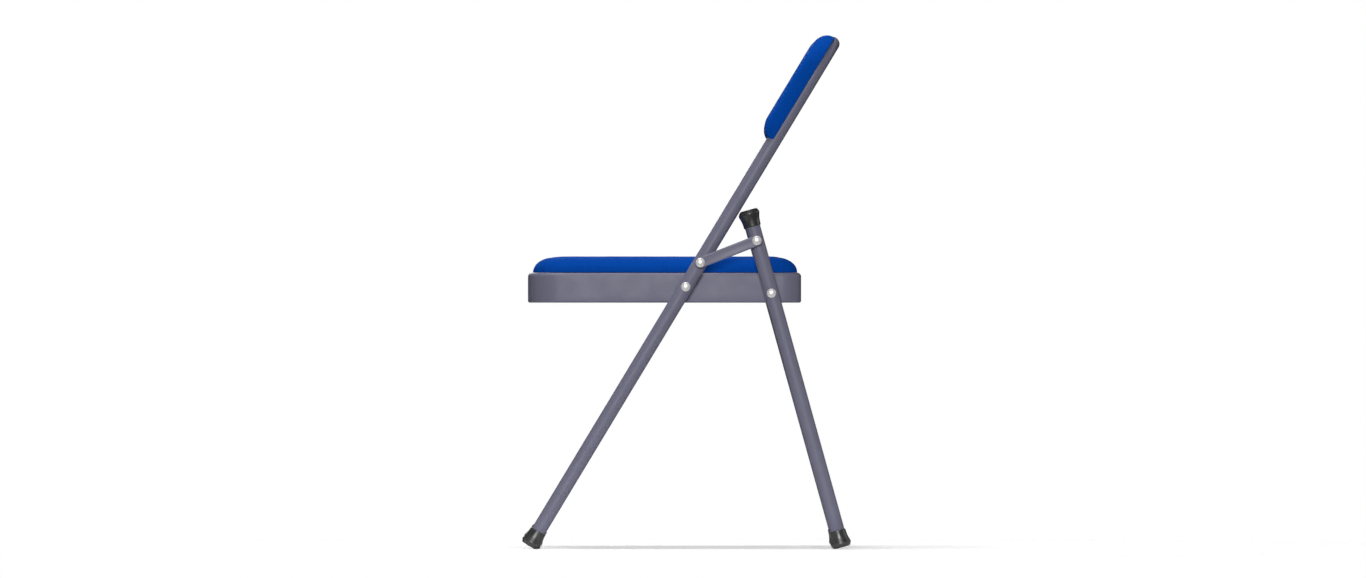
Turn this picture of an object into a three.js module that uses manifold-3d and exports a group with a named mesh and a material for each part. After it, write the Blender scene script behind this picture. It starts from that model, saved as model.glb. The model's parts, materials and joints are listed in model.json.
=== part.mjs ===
// A padded steel folding chair, standing open, in millimetres with +Z up.
// The sitter faces -Y, so the sitter's left is +X. The origin is on the floor, midway between the feet.
//
// The front legs and the back are one bent tube, the front frame. Each rear leg hangs from the rear of
// the seat, and a short link ties it to the front frame above the seat. Each of these pieces is drawn in a
// group of its own, whose local z runs up its tube.

import * as THREE from 'three';
import { mergeVertices } from 'three/addons/utils/BufferGeometryUtils.js';
import Module from 'manifold-3d';

const wasm = await Module();
wasm.setup();

// ---------------------------------------------------------------- driving dimensions

const GAP = 0.3; // left between pieces that touch, and round a rivet in its hole

// Where the tubes stand
const FRAME_SLOPE = 58.9; // degrees the front frame stands above the floor, leaning back
const LEG_SLOPE = 74.48; // degrees the rear legs stand above the floor, leaning forward
const TUBE_CENTRE_X = 219; // half the distance between the two front tubes, and between the rear legs

// The four pivots: seat on frame, leg on seat, link on frame and link on leg
const SEAT_PIVOT = { y: -1.2, z: 391.7 };
const LEG_PIVOT = { y: 126.9, z: 382.3 };
const LINK_PIVOT_ON_FRAME = 42.2; // up the frame from the seat pivot
const LINK_PIVOT_ON_LEG = 81.5; // up the leg from the leg pivot

// Tubes
const TUBE_RADIUS = 11.1;
const TUBE_WALL = 1.2;
const BRACE_RADIUS = 8;
const BRACE_WALL = 1.2;
const FRAME_TOP = 435.9; // top of the bent tube, up the frame from the seat pivot
const FRAME_FOOT = -452.5; // end face of the front feet, along the frame
const FRAME_BEND_RADIUS = 60; // of the centre line at the two top corners
const LEG_TOP = 129.2; // end face of the top caps, up the leg from the leg pivot
const LEG_FOOT = -394.2; // end face of the rear feet, along the leg
const FRONT_BRACE_AT = -300; // along the frame
const REAR_BRACES_AT = { upper: -110, lower: -290 }; // along the leg

// Rubber caps
const CAP_LENGTH = 26;
const CAP_FLOOR = 5; // rubber between the tube's end and the cap's end face
const CAP_FLARE = [ // radius and height above the end face, from the end to the lip
  [11.5, 0], [13, 0.8], [13.8, 2.6], [15.4, 6], [14.4, 9.5], [13, 15.5], [12.4, 21], [12.2, CAP_LENGTH],
];

// Seat pan, a pressed steel tray that opens downwards
const SEAT_HALF_WIDTH = 200;
const PAN_FRONT = -237.5;
const PAN_REAR = 171.5;
const PAN_BOTTOM = 368;
const PAN_HEIGHT = 45;
const PAN_WALL = 1.5;
const PAN_FLANGE = 8; // turned in along the bottom edge
const PAN_FRONT_CORNER = 51;
const PAN_REAR_CORNER = 30;
const PAN_EDGE_ROUND = 6;
const PAN_MOUTH_ROUND = 1; // the top edge of the shape that opens the pan from below

// Seat cushion and its board
const CUSHION_INSET = { front: 7.3, rear: 5.7, side: 3 }; // from the edge of the pan
const CUSHION_HEIGHT = 24.5;
const CUSHION_EDGE = { inward: 29, upward: 24 }; // the rounding of its upper edge
const SEAT_BOARD_THICKNESS = 9;
const BOARD_MARGIN = 12; // from the edge of a cushion to its board

// Stiffening of the pan
const STIFFENER = { width: 28, height: 14, wall: 1.5, halfLength: 193, frontY: -120, rearY: 68 };
const SIDE_PLATE = { thickness: 2, middleY: 55, halfLength: 85, bottom: 371, top: 405, corner: 8 };

// Back rest
const PAD_BOTTOM = 254.4; // up the frame from the seat pivot
const PAD_TOP = 433.4;
const PAD_HALF_WIDTH = 234;
const PAD_FRONT = -27.2; // measured from the tube's centre line, towards the sitter
const PAD_BACK = -1.8;
const PAD_SIDE_EDGE = { inward: 9, upward: 10 }; // the rounding all round its front face
const PAD_END_EDGE = { inward: 24, upward: 24 }; // the larger rounding along its top and bottom
const PAD_TOP_CORNER = 66;
const PAD_BOTTOM_CORNER = 10;
const PANEL = { bottom: 262, top: 410, lowCorner: 14, highCorner: 50, thickness: 1.2, rim: 9 };
const BACK_BOARD = { bottom: 272, top: 404, halfWidth: 192, lowCorner: 12, highCorner: 50, thickness: 6 };

// Fasteners
const RIVET = { shank: 4, head: 7, dome: 3.5, tail: 6.5, tailDome: 2 };
const SPACER_RADIUS = 7.5;
const LINK = { thickness: 3, halfWidth: 8, standOff: 3.8 }; // standOff is its washer's thickness
const SCREW = { shank: 2.5, head: 5, dome: 2.6 };
const SCREW_GRIP = 5.2; // how far a screw goes into a board
const SEAT_SCREW = { x: 130, front: -175, rear: 118 };
const BACK_SCREW = { x: 120, low: 292, high: 384 };

// Holes
const RIVET_HOLE = RIVET.shank + GAP; // radius
const SCREW_HOLE = SCREW.shank + GAP;

// Faces along X that the pieces share
const TUBE_OUTER_X = TUBE_CENTRE_X + TUBE_RADIUS;
const TUBE_INNER_X = TUBE_CENTRE_X - TUBE_RADIUS;
const LINK_INNER_X = TUBE_OUTER_X + GAP + LINK.standOff + GAP;
const LINK_OUTER_X = LINK_INNER_X + LINK.thickness;
const PLATE_OUTER_X = SEAT_HALF_WIDTH - PAN_WALL - GAP;
const PLATE_INNER_X = PLATE_OUTER_X - SIDE_PLATE.thickness;

// How finely the curves are stepped
const ROUND = 18; // sides of a tube or cap
const SMALL_ROUND = 12; // sides of a rivet, screw or hole
const CORNER_STEPS = 5; // along each rounded corner
const EDGE_STEPS = 3; // over each rounded edge
const BEND_STEPS = 6; // round each bend of the front tube
const HEAD_STEPS = 3; // over a rivet's head
const SMALL_HEAD_STEPS = 2; // over a screw's head or a rivet's tail

const CUT_PAST = 1; // how far a cutting shape goes beyond the face that it cuts
const UNDER_FLOOR = { halfSize: 400, depth: 50 }; // the block that trims the feet level with the floor
const QUARTER_PULL = 0.5523; // how far a quarter circle's handles stand off its ends, for a radius of 1
const SIDES = { left: 1, right: -1 };

// ---------------------------------------------------------------- materials

const material = (color, roughness, metalness) =>
  new THREE.MeshStandardMaterial({ color, roughness, metalness });

const paintedSteel = () => material(0x737285, 0.45, 0.3);
const blueFabric = () => material(0x05439e, 0.95, 0);
const blackRubber = () => material(0x2a2a2b, 0.75, 0);
const brightRivet = () => material(0xebe8e7, 0.3, 0.8);
const zincScrew = () => material(0xb4b4b8, 0.35, 0.9);
const plywood = () => material(0xc39a69, 0.8, 0);
const greyNylon = () => material(0x55565c, 0.6, 0);

// ---------------------------------------------------------------- solids

/** A closed geometry as a solid that can be joined and cut. */
function solidOf(geometry) {
  const bare = geometry.clone();
  bare.deleteAttribute('normal');
  bare.deleteAttribute('uv');
  const merged = mergeVertices(bare, 1e-4);
  const index = merged.index.array;
  const triVerts = [];
  for (let i = 0; i < index.length; i += 3) {
    const [a, b, c] = index.slice(i, i + 3);
    if (a !== b && b !== c && c !== a) triVerts.push(a, b, c);
  }
  return new wasm.Manifold(new wasm.Mesh({
    numProp: 3,
    vertProperties: new Float32Array(merged.attributes.position.array),
    triVerts: new Uint32Array(triVerts),
  }));
}

function geometryOf(solid) {
  const mesh = solid.getMesh();
  const geometry = new THREE.BufferGeometry();
  geometry.setAttribute('position', new THREE.BufferAttribute(mesh.vertProperties, 3));
  geometry.setIndex(new THREE.BufferAttribute(mesh.triVerts, 1));
  return geometry;
}

/** The geometry with every tool cut out of it. */
function cut(geometry, ...tools) {
  let solid = solidOf(geometry);
  for (const tool of tools) solid = solid.subtract(solidOf(tool));
  return geometryOf(solid);
}

/** What two geometries share. */
function common(first, second) {
  return geometryOf(solidOf(first).intersect(solidOf(second)));
}

/** A block from one corner to the opposite one. */
function block(low, high) {
  const size = high.map((value, i) => value - low[i]);
  const middle = high.map((value, i) => (value + low[i]) / 2);
  return new THREE.BoxGeometry(...size).translate(...middle);
}

/** A rod along X, from one x to the other, at the given y and z. */
function rodAlongX(radius, fromX, toX, y = 0, z = 0) {
  return new THREE.CylinderGeometry(radius, radius, toX - fromX, SMALL_ROUND)
    .rotateZ(-Math.PI / 2)
    .translate((fromX + toX) / 2, y, z);
}

/** A profile of [radius, height] points, turned round the z axis. */
function turned(profile, sides = ROUND) {
  const points = profile.map(([radius, height]) => new THREE.Vector2(radius, height));
  return new THREE.LatheGeometry(points, sides).rotateX(Math.PI / 2);
}

/** The same, turned round an axis along X: heights run outwards, to +X on the left and -X on the right. */
function turnedAlongX(profile, direction) {
  return turned(profile, SMALL_ROUND).rotateY(direction * Math.PI / 2);
}

/** A shape drawn in y and z, extruded along X from one x to the other. */
function extrudedAlongX(shape, fromX, toX) {
  const depth = toX - fromX;
  const turn = new THREE.Matrix4().makeBasis(
    new THREE.Vector3(0, 1, 0), new THREE.Vector3(0, 0, 1), new THREE.Vector3(1, 0, 0));
  return new THREE.ExtrudeGeometry(shape, { depth, bevelEnabled: false, curveSegments: CORNER_STEPS })
    .applyMatrix4(turn)
    .translate(fromX, 0, 0);
}

/** The ends along X of a piece on the given side, lowest first. */
function endsAlongX(direction, innerX, outerX) {
  return direction > 0 ? [innerX, outerX] : [-outerX, -innerX];
}

/** A flat plate on z = 0. */
function plate(outline, depth) {
  return new THREE.ExtrudeGeometry(outline, { depth, bevelEnabled: false, curveSegments: CORNER_STEPS });
}

/** A rectangle with one radius for the two low corners and another for the two high ones. */
function roundedOutline(halfWidth, low, high, lowRadius, highRadius) {
  const shape = new THREE.Shape();
  shape.absarc(halfWidth - lowRadius, low + lowRadius, lowRadius, -Math.PI / 2, 0);
  shape.absarc(halfWidth - highRadius, high - highRadius, highRadius, 0, Math.PI / 2);
  shape.absarc(-halfWidth + highRadius, high - highRadius, highRadius, Math.PI / 2, Math.PI);
  shape.absarc(-halfWidth + lowRadius, low + lowRadius, lowRadius, Math.PI, Math.PI * 1.5);
  shape.closePath();
  return shape;
}

/**
 * A slab that stands on z = 0 with a rounded upper edge: "edge" gives how far the rounding reaches inward
 * and upward. It is half of a slab rounded on both faces, so its sides meet its base squarely.
 */
function roundedSlab({ halfWidth, low, high, lowCorner, highCorner, height, edge }) {
  const face = roundedOutline(
    halfWidth - edge.inward, low + edge.inward, high - edge.inward,
    lowCorner - edge.inward, highCorner - edge.inward);
  const depth = 2 * (height - edge.upward);
  const doubled = new THREE.ExtrudeGeometry(face, {
    depth,
    bevelThickness: edge.upward,
    bevelSize: edge.inward,
    bevelSegments: EDGE_STEPS,
    curveSegments: CORNER_STEPS,
  }).translate(0, 0, -depth / 2);
  const reach = 2 * (halfWidth + Math.abs(low) + Math.abs(high));
  return cut(doubled, block([-reach, -reach, -reach], [reach, reach, 0]));
}

/** A bar along X that stands on z = 0, with its two upper edges rounded. */
function roundedBar(low, high, height, edge, reach) {
  const shape = new THREE.Shape();
  const centreZ = height - edge.upward;
  shape.moveTo(low, -CUT_PAST);
  shape.lineTo(high, -CUT_PAST);
  shape.absellipse(high - edge.inward, centreZ, edge.inward, edge.upward, 0, Math.PI / 2);
  shape.absellipse(low + edge.inward, centreZ, edge.inward, edge.upward, Math.PI / 2, Math.PI);
  shape.closePath();
  return extrudedAlongX(shape, -reach, reach);
}

/** Stretches of curve laid end to end, each with its own number of steps, so a straight needs only one. */
class SteppedPath extends THREE.Curve {
  constructor(stretches) {
    super();
    this.stations = stretches.flatMap(({ curve, steps }) =>
      Array.from({ length: steps }, (_, i) => ({ curve, from: i / steps, to: (i + 1) / steps })));
  }

  locate(t) {
    const scaled = t * this.stations.length;
    const index = Math.min(Math.floor(scaled), this.stations.length - 1);
    const { curve, from, to } = this.stations[index];
    return [curve, from + (to - from) * (scaled - index)];
  }

  getPoint(t) {
    const [curve, local] = this.locate(t);
    return curve.getPoint(local);
  }

  getTangent(t) {
    const [curve, local] = this.locate(t);
    return curve.getTangent(local);
  }

  getUtoTmapping(u) {
    return u;
  }
}

// ---------------------------------------------------------------- tubes

/** The centre line of the front frame: up one leg, across the top and down the other. */
function framePath(fromZ) {
  const x = TUBE_CENTRE_X;
  const top = FRAME_TOP - TUBE_RADIUS;
  const bend = FRAME_BEND_RADIUS;
  const pull = bend * QUARTER_PULL;
  const at = (px, pz) => new THREE.Vector3(px, 0, pz);
  const straight = (a, b) => ({ curve: new THREE.LineCurve3(a, b), steps: 1 });
  const corner = (...points) => ({ curve: new THREE.CubicBezierCurve3(...points), steps: BEND_STEPS });
  return new SteppedPath([
    straight(at(-x, fromZ), at(-x, top - bend)),
    corner(at(-x, top - bend), at(-x, top - bend + pull), at(-x + bend - pull, top), at(-x + bend, top)),
    straight(at(-x + bend, top), at(x - bend, top)),
    corner(at(x - bend, top), at(x - bend + pull, top), at(x, top - bend + pull), at(x, top - bend)),
    straight(at(x, top - bend), at(x, fromZ)),
  ]);
}

function sweptAlong(path, radius, wall) {
  const section = new THREE.Shape().absarc(0, 0, radius, 0, Math.PI * 2);
  if (wall) section.holes.push(new THREE.Path().absarc(0, 0, radius - wall, 0, Math.PI * 2, true));
  return new THREE.ExtrudeGeometry(section, {
    steps: path.stations.length,
    extrudePath: path,
    curveSegments: ROUND / 2,
  });
}

/** A straight tube along z. */
function straightTube(radius, wall, fromZ, toZ) {
  return turned([
    [radius - wall, fromZ], [radius, fromZ], [radius, toZ], [radius - wall, toZ], [radius - wall, fromZ],
  ]);
}

/** Holes for rivets through both walls of the left and right tubes, at the given heights. */
function rivetHoles(...heights) {
  const reach = TUBE_OUTER_X + CUT_PAST;
  return heights.map((z) => rodAlongX(RIVET_HOLE, -reach, reach, 0, z));
}

/** A tube across the chair, hollowed at both ends to fit against the two upright tubes. */
function crossBrace(z) {
  const brace = straightTube(BRACE_RADIUS, BRACE_WALL, -TUBE_CENTRE_X, TUBE_CENTRE_X)
    .rotateY(Math.PI / 2)
    .translate(0, 0, z);
  const radius = TUBE_RADIUS + GAP;
  const length = 2 * (BRACE_RADIUS + CUT_PAST);
  const upright = (x) =>
    new THREE.CylinderGeometry(radius, radius, length, ROUND).rotateX(Math.PI / 2).translate(x, 0, z);
  return cut(brace, upright(-TUBE_CENTRE_X), upright(TUBE_CENTRE_X));
}

// ---------------------------------------------------------------- caps

/** A flared rubber cap: its end face on z = 0, its mouth up, and a blind bore for the tube. */
function rubberCap() {
  const bore = TUBE_RADIUS + GAP;
  return turned([[0, 0], ...CAP_FLARE, [bore, CAP_LENGTH], [bore, CAP_FLOOR], [0, CAP_FLOOR]]);
}

/** A cap at the foot of a tube, with the small flat that it stands on cut level with the floor. */
function footCap(x, endZ, group) {
  group.updateMatrixWorld();
  const intoGroup = group.matrixWorld.clone().invert();
  const { halfSize, depth } = UNDER_FLOOR;
  const underFloor = block([-halfSize, -halfSize, -depth], [halfSize, halfSize, 0])
    .applyMatrix4(intoGroup);
  return cut(rubberCap().translate(x, 0, endZ), underFloor);
}

function topCap(x, endZ) {
  return rubberCap().rotateX(Math.PI).translate(x, 0, endZ);
}

// ---------------------------------------------------------------- fasteners

/** Points of a domed head's outline, from its rim at the given height to the axis. */
function dome(radius, height, atHeight, steps) {
  return Array.from({ length: steps + 1 }, (_, i) => {
    const angle = (i / steps) * (Math.PI / 2);
    return [i === steps ? 0 : radius * Math.cos(angle), atHeight + height * Math.sin(angle)];
  });
}

/** A rivet along X: a domed head outside headX, and a smaller clenched head inside tailX. */
function rivet(direction, headX, tailX) {
  const tail = dome(RIVET.tail, -RIVET.tailDome, tailX, SMALL_HEAD_STEPS).reverse();
  const head = dome(RIVET.head, RIVET.dome, headX, HEAD_STEPS);
  return turnedAlongX([...tail, [RIVET.shank, tailX], [RIVET.shank, headX], ...head], direction);
}

/** A rivet whose shank stops short at endX, with no second head. */
function shortRivet(direction, headX, endX) {
  const head = dome(RIVET.head, RIVET.dome, headX, HEAD_STEPS);
  return turnedAlongX([[0, endX], [RIVET.shank, endX], [RIVET.shank, headX], ...head], direction);
}

/** A ring round a rivet's shank, along X. */
function spacer(direction, fromX, toX) {
  return turnedAlongX([
    [RIVET_HOLE, fromX], [SPACER_RADIUS, fromX], [SPACER_RADIUS, toX], [RIVET_HOLE, toX], [RIVET_HOLE, fromX],
  ], direction);
}

/** A screw that points up z: its head hangs below z = 0 and its shank ends at the given length. */
function screw(length) {
  const head = dome(SCREW.head, -SCREW.dome, 0, SMALL_HEAD_STEPS).reverse();
  return turned([...head, [SCREW.shank, 0], [SCREW.shank, length], [0, length]], SMALL_ROUND);
}

function screwHole(length) {
  const profile = [
    [0, -CUT_PAST], [SCREW_HOLE, -CUT_PAST], [SCREW_HOLE, length + GAP], [0, length + GAP],
  ];
  return turned(profile, SMALL_ROUND);
}

// ---------------------------------------------------------------- seat

const PAN_TOP = PAN_BOTTOM + PAN_HEIGHT;
const SEAT_SCREW_HEAD_Z = PAN_TOP - PAN_WALL - GAP;
const SEAT_SCREW_LENGTH = PAN_TOP + GAP + SCREW_GRIP - SEAT_SCREW_HEAD_Z;
const SEAT_SCREW_PLACES = [
  [-SEAT_SCREW.x, SEAT_SCREW.front], [SEAT_SCREW.x, SEAT_SCREW.front],
  [-SEAT_SCREW.x, SEAT_SCREW.rear], [SEAT_SCREW.x, SEAT_SCREW.rear],
];

/** The pan's outline, drawn in by the same amount all round. */
function panSlab(inset, height, edgeRound) {
  return roundedSlab({
    halfWidth: SEAT_HALF_WIDTH - inset,
    low: PAN_FRONT + inset,
    high: PAN_REAR - inset,
    lowCorner: PAN_FRONT_CORNER - inset,
    highCorner: PAN_REAR_CORNER - inset,
    height,
    edge: { inward: edgeRound, upward: edgeRound },
  });
}

function seatPan() {
  const inside = panSlab(PAN_WALL, PAN_HEIGHT - 2 * PAN_WALL, PAN_EDGE_ROUND - PAN_WALL)
    .translate(0, 0, PAN_BOTTOM + PAN_WALL);
  const mouth = panSlab(PAN_FLANGE, PAN_HEIGHT / 2, PAN_MOUTH_ROUND).translate(0, 0, PAN_BOTTOM - CUT_PAST);
  const reach = SEAT_HALF_WIDTH + CUT_PAST;
  const pivotHoles = [SEAT_PIVOT, LEG_PIVOT].map(({ y, z }) => rodAlongX(RIVET_HOLE, -reach, reach, y, z));
  const screwHoles = SEAT_SCREW_PLACES.map(([x, y]) =>
    screwHole(SEAT_SCREW_LENGTH).translate(x, y, SEAT_SCREW_HEAD_Z));
  return cut(
    panSlab(0, PAN_HEIGHT, PAN_EDGE_ROUND).translate(0, 0, PAN_BOTTOM),
    inside, mouth, ...pivotHoles, ...screwHoles);
}

/** The board under the cushion, or the recess for it when it is made larger by "grow". */
function seatBoardPlate(grow) {
  const margin = BOARD_MARGIN - grow;
  const outline = roundedOutline(
    SEAT_HALF_WIDTH - CUSHION_INSET.side - margin,
    PAN_FRONT + CUSHION_INSET.front + margin,
    PAN_REAR - CUSHION_INSET.rear - margin,
    PAN_FRONT_CORNER - margin, PAN_REAR_CORNER - margin);
  return plate(outline, SEAT_BOARD_THICKNESS + 2 * grow).translate(0, 0, PAN_TOP + GAP - grow);
}

function seatBoard() {
  const pilots = SEAT_SCREW_PLACES.map(([x, y]) =>
    screwHole(SEAT_SCREW_LENGTH).translate(x, y, SEAT_SCREW_HEAD_Z));
  return cut(seatBoardPlate(0), ...pilots);
}

/** The cushion stands on the pan and covers the board, which fills a recess in its underside. */
function seatCushion() {
  const slab = roundedSlab({
    halfWidth: SEAT_HALF_WIDTH - CUSHION_INSET.side,
    low: PAN_FRONT + CUSHION_INSET.front,
    high: PAN_REAR - CUSHION_INSET.rear,
    lowCorner: PAN_FRONT_CORNER,
    highCorner: PAN_REAR_CORNER,
    height: CUSHION_HEIGHT,
    edge: CUSHION_EDGE,
  }).translate(0, 0, PAN_TOP + GAP);
  return cut(slab, seatBoardPlate(GAP));
}

/** A channel across the pan, its web against the pan's top and its flanges down. */
function stiffener(y) {
  const { width, height, wall, halfLength } = STIFFENER;
  const top = PAN_TOP - PAN_WALL - GAP;
  const outer = block([-halfLength, y - width / 2, top - height], [halfLength, y + width / 2, top]);
  const inner = block(
    [-halfLength - CUT_PAST, y - width / 2 + wall, top - height - CUT_PAST],
    [halfLength + CUT_PAST, y + width / 2 - wall, top - wall]);
  return cut(outer, inner);
}

/** The plate inside each side of the pan that both of the seat's rivets pass through. */
function sidePlate(direction) {
  const { middleY, halfLength, bottom, top, corner } = SIDE_PLATE;
  const shape = roundedOutline(halfLength, bottom, top, corner, corner);
  for (const { y, z } of [SEAT_PIVOT, LEG_PIVOT]) {
    shape.holes.push(new THREE.Path().absarc(y - middleY, z, RIVET_HOLE, 0, Math.PI * 2, true));
  }
  return extrudedAlongX(shape, ...endsAlongX(direction, PLATE_INNER_X, PLATE_OUTER_X))
    .translate(0, middleY, 0);
}

// ---------------------------------------------------------------- back rest

const PANEL_FRONT = PAD_BACK + GAP;
const PANEL_REAR = PANEL_FRONT + PANEL.thickness;
const BACK_SCREW_LENGTH = PANEL_REAR - PAD_BACK + SCREW_GRIP;
const BACK_SCREW_PLACES = [
  [-BACK_SCREW.x, BACK_SCREW.low], [BACK_SCREW.x, BACK_SCREW.low],
  [-BACK_SCREW.x, BACK_SCREW.high], [BACK_SCREW.x, BACK_SCREW.high],
];

/** Turns a screw, or its hole, so that it goes in from behind the panel, towards the sitter. */
function fromBehind(geometry, [x, z]) {
  return geometry.rotateX(Math.PI / 2).translate(x, PANEL_REAR + GAP, z);
}

/** Stands a plate or slab up between the tubes: its base at the given y, and its upper face forward. */
function facingForward(geometry, baseY) {
  const turn = new THREE.Matrix4().makeBasis(
    new THREE.Vector3(1, 0, 0), new THREE.Vector3(0, 0, 1), new THREE.Vector3(0, -1, 0));
  return geometry.applyMatrix4(turn).translate(0, baseY, 0);
}

/** A shallow pressed tray between the tubes, with its rim turned to the rear. */
function backPanel() {
  const { bottom, top, lowCorner, highCorner, thickness, rim } = PANEL;
  const outline = (inset) => roundedOutline(
    TUBE_INNER_X - GAP - inset, bottom + inset, top - inset, lowCorner - inset, highCorner - inset);
  const tray = facingForward(plate(outline(0), rim), PANEL_FRONT + rim);
  const hollow = facingForward(plate(outline(thickness), rim), PANEL_REAR + rim);
  const holes = BACK_SCREW_PLACES.map((place) => fromBehind(screwHole(BACK_SCREW_LENGTH), place));
  return cut(tray, hollow, ...holes);
}

/** The board behind the pad, or the recess for it when it is made larger by "grow". */
function backBoardPlate(grow) {
  const { bottom, top, halfWidth, lowCorner, highCorner, thickness } = BACK_BOARD;
  const outline = roundedOutline(
    halfWidth + grow, bottom - grow, top + grow, lowCorner + grow, highCorner + grow);
  return facingForward(plate(outline, thickness + 2 * grow), PAD_BACK + grow);
}

function backBoard() {
  const pilots = BACK_SCREW_PLACES.map((place) => fromBehind(screwHole(BACK_SCREW_LENGTH), place));
  return cut(backBoardPlate(0), ...pilots);
}

/** The pad lies over the front half of the bent tube and covers its board. */
function backCushion() {
  const height = PAD_BACK - PAD_FRONT;
  const slab = roundedSlab({
    halfWidth: PAD_HALF_WIDTH,
    low: PAD_BOTTOM,
    high: PAD_TOP,
    lowCorner: PAD_BOTTOM_CORNER,
    highCorner: PAD_TOP_CORNER,
    height,
    edge: PAD_SIDE_EDGE,
  });
  const bar = roundedBar(PAD_BOTTOM, PAD_TOP, height, PAD_END_EDGE, PAD_HALF_WIDTH + CUT_PAST);
  const channel = sweptAlong(framePath(PAD_BOTTOM - CUT_PAST), TUBE_RADIUS + GAP);
  return cut(facingForward(common(slab, bar), PAD_BACK), channel, backBoardPlate(GAP));
}

// ---------------------------------------------------------------- links

const onFrame = (distance) => ({
  y: SEAT_PIVOT.y + distance * Math.cos(THREE.MathUtils.degToRad(FRAME_SLOPE)),
  z: SEAT_PIVOT.z + distance * Math.sin(THREE.MathUtils.degToRad(FRAME_SLOPE)),
});

const onLeg = (distance) => ({
  y: LEG_PIVOT.y - distance * Math.cos(THREE.MathUtils.degToRad(LEG_SLOPE)),
  z: LEG_PIVOT.z + distance * Math.sin(THREE.MathUtils.degToRad(LEG_SLOPE)),
});

/** A flat bar with round ends, from the frame's pivot to the leg's. */
function linkBar(direction) {
  const a = onFrame(LINK_PIVOT_ON_FRAME);
  const b = onLeg(LINK_PIVOT_ON_LEG);
  const angle = Math.atan2(b.z - a.z, b.y - a.y);
  const shape = new THREE.Shape();
  shape.absarc(b.y, b.z, LINK.halfWidth, angle - Math.PI / 2, angle + Math.PI / 2);
  shape.absarc(a.y, a.z, LINK.halfWidth, angle + Math.PI / 2, angle + Math.PI * 1.5);
  shape.closePath();
  for (const { y, z } of [a, b]) {
    shape.holes.push(new THREE.Path().absarc(y, z, RIVET_HOLE, 0, Math.PI * 2, true));
  }
  return extrudedAlongX(shape, ...endsAlongX(direction, LINK_INNER_X, LINK_OUTER_X));
}

// ---------------------------------------------------------------- the chair

const chair = new THREE.Group();

/** A group that stands at a pivot, with its z up a tube that leans by the given angle. */
function tubeGroup({ y, z }, lean) {
  const group = new THREE.Group();
  group.position.set(0, y, z);
  group.rotation.x = THREE.MathUtils.degToRad(lean);
  chair.add(group);
  return group;
}

const frame = tubeGroup(SEAT_PIVOT, FRAME_SLOPE - 90);
const legs = tubeGroup(LEG_PIVOT, 90 - LEG_SLOPE);

function add(group, name, geometry, surface) {
  const mesh = new THREE.Mesh(geometry, surface);
  mesh.name = name;
  group.add(mesh);
  return mesh;
}

/** Adds a piece whose axis is along X, moved to a pivot. */
function addAt({ y, z }, name, geometry, surface) {
  add(chair, name, geometry, surface).position.set(0, y, z);
}

function addFrontFrame() {
  const tubeEnd = FRAME_FOOT + CAP_FLOOR + GAP;
  const tube = sweptAlong(framePath(tubeEnd), TUBE_RADIUS, TUBE_WALL);
  add(frame, 'front_frame_tube', cut(tube, ...rivetHoles(0)), paintedSteel());
  add(frame, 'front_cross_brace', crossBrace(FRONT_BRACE_AT), paintedSteel());
}

function addBackRest() {
  add(frame, 'back_panel', backPanel(), paintedSteel());
  add(frame, 'back_board', backBoard(), plywood());
  add(frame, 'back_cushion', backCushion(), blueFabric());
  BACK_SCREW_PLACES.forEach((place, i) => {
    add(frame, `back_screw_${i + 1}`, fromBehind(screw(BACK_SCREW_LENGTH), place), zincScrew());
  });
}

function addSeat() {
  add(chair, 'seat_pan', seatPan(), paintedSteel());
  add(chair, 'seat_board', seatBoard(), plywood());
  add(chair, 'seat_cushion', seatCushion(), blueFabric());
  add(chair, 'seat_stiffener_front', stiffener(STIFFENER.frontY), paintedSteel());
  add(chair, 'seat_stiffener_rear', stiffener(STIFFENER.rearY), paintedSteel());
  SEAT_SCREW_PLACES.forEach(([x, y], i) => {
    const shape = screw(SEAT_SCREW_LENGTH);
    add(chair, `seat_screw_${i + 1}`, shape, zincScrew()).position.set(x, y, SEAT_SCREW_HEAD_Z);
  });
}

function addRearLegs() {
  for (const [where, z] of Object.entries(REAR_BRACES_AT)) {
    add(legs, `rear_cross_brace_${where}`, crossBrace(z), paintedSteel());
  }
}

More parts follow.
